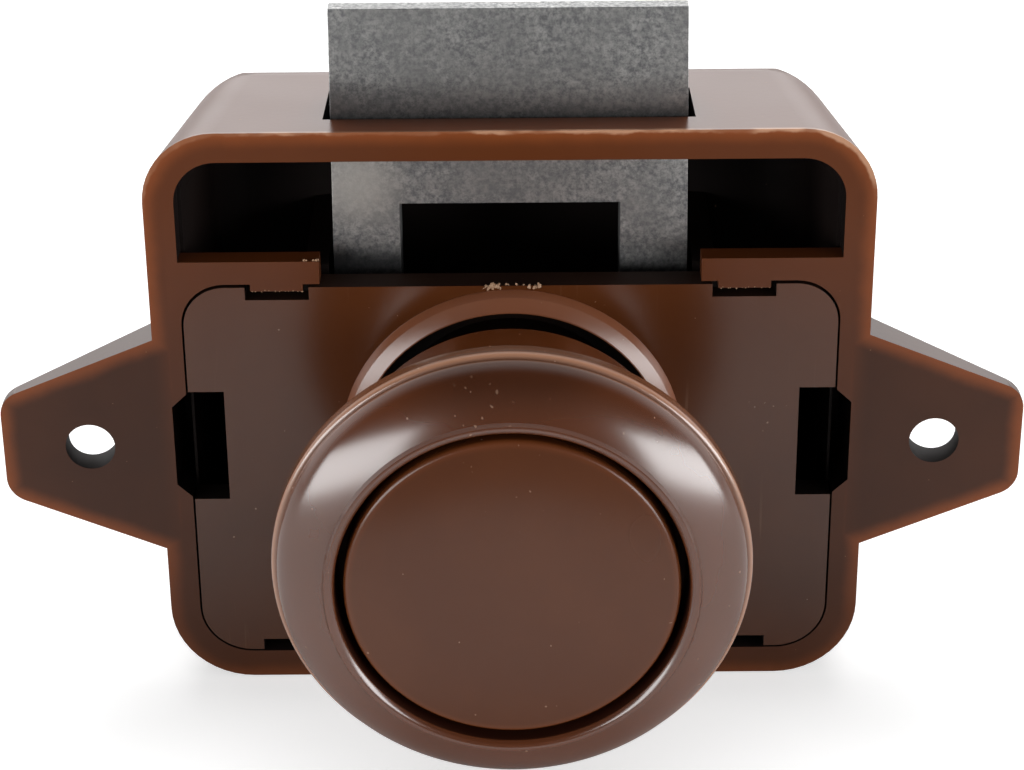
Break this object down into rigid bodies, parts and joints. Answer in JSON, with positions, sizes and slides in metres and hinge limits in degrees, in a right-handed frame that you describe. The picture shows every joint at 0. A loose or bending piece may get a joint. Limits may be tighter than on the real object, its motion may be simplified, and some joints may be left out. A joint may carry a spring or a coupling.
{
  "type": "pushbutton cabinet lock",
  "caption": "Surface-mounted push-button lock for a cabinet door: moulded housing with screw ears, a round knob that pops out, and a sprung latch bolt that it draws in.",
  "frame": {"origin": "midway between the two screw holes, on the face that lies against the door, which is also the axis of the knob", "axes": "+X along the two screw ears, -Y out of the front towards the knob, +Z the way the bolt points"},
  "size_m": [0.0604, 0.0331, 0.0422],
  "materials": {
    "housing_plastic": "semi-gloss brown moulding",
    "cover_plastic": "semi-gloss brown moulding with fine scratches",
    "knob_plastic": "polished brown moulding",
    "button_plastic": "satin brown moulding",
    "inner_plastic": "satin brown moulding",
    "zinc": "mottled grey die-casting",
    "spring_steel": "drawn wire"
  },
  "bodies": {
    "body": {"housing": "housing_plastic", "cover_plate": "cover_plastic", "rosette": "knob_plastic", "guide_sleeve": "inner_plastic", "plunger_spring": "spring_steel", "bolt_spring_left": "spring_steel", "bolt_spring_right": "spring_steel"},
    "button": {"button_cap": "button_plastic", "plunger": "inner_plastic"},
    "bolt": {"bolt": "zinc"},
    "follower": {"cam_follower": "spring_steel"}
  },
  "joints": [
    {"name": "button_slide", "type": "slide", "parent": "body", "child": "button", "axis": [0, -1, 0], "range_m": [0, 0.009], "deforming": ["plunger_spring"]},
    {"name": "bolt_slide", "type": "slide", "parent": "body", "child": "bolt", "axis": [0, 0, -1], "range_m": [0, 0.0063], "stiffness_N_per_m": 250, "springref_m": -0.004, "deforming": ["bolt_spring_left", "bolt_spring_right"]},
    {"name": "follower_swing", "type": "hinge", "parent": "body", "child": "follower", "pos_m": [0, 0.0009, -0.007], "axis": [0, 0, 1], "range_deg": [0, 6.6]}
  ],
  "couplings": [
    {"joint": "bolt_slide", "follows": "button_slide", "ratio": 0.7},
    {"joint": "follower_swing", "follows": "button_slide", "rad_per_m": 12.64}
  ]
}
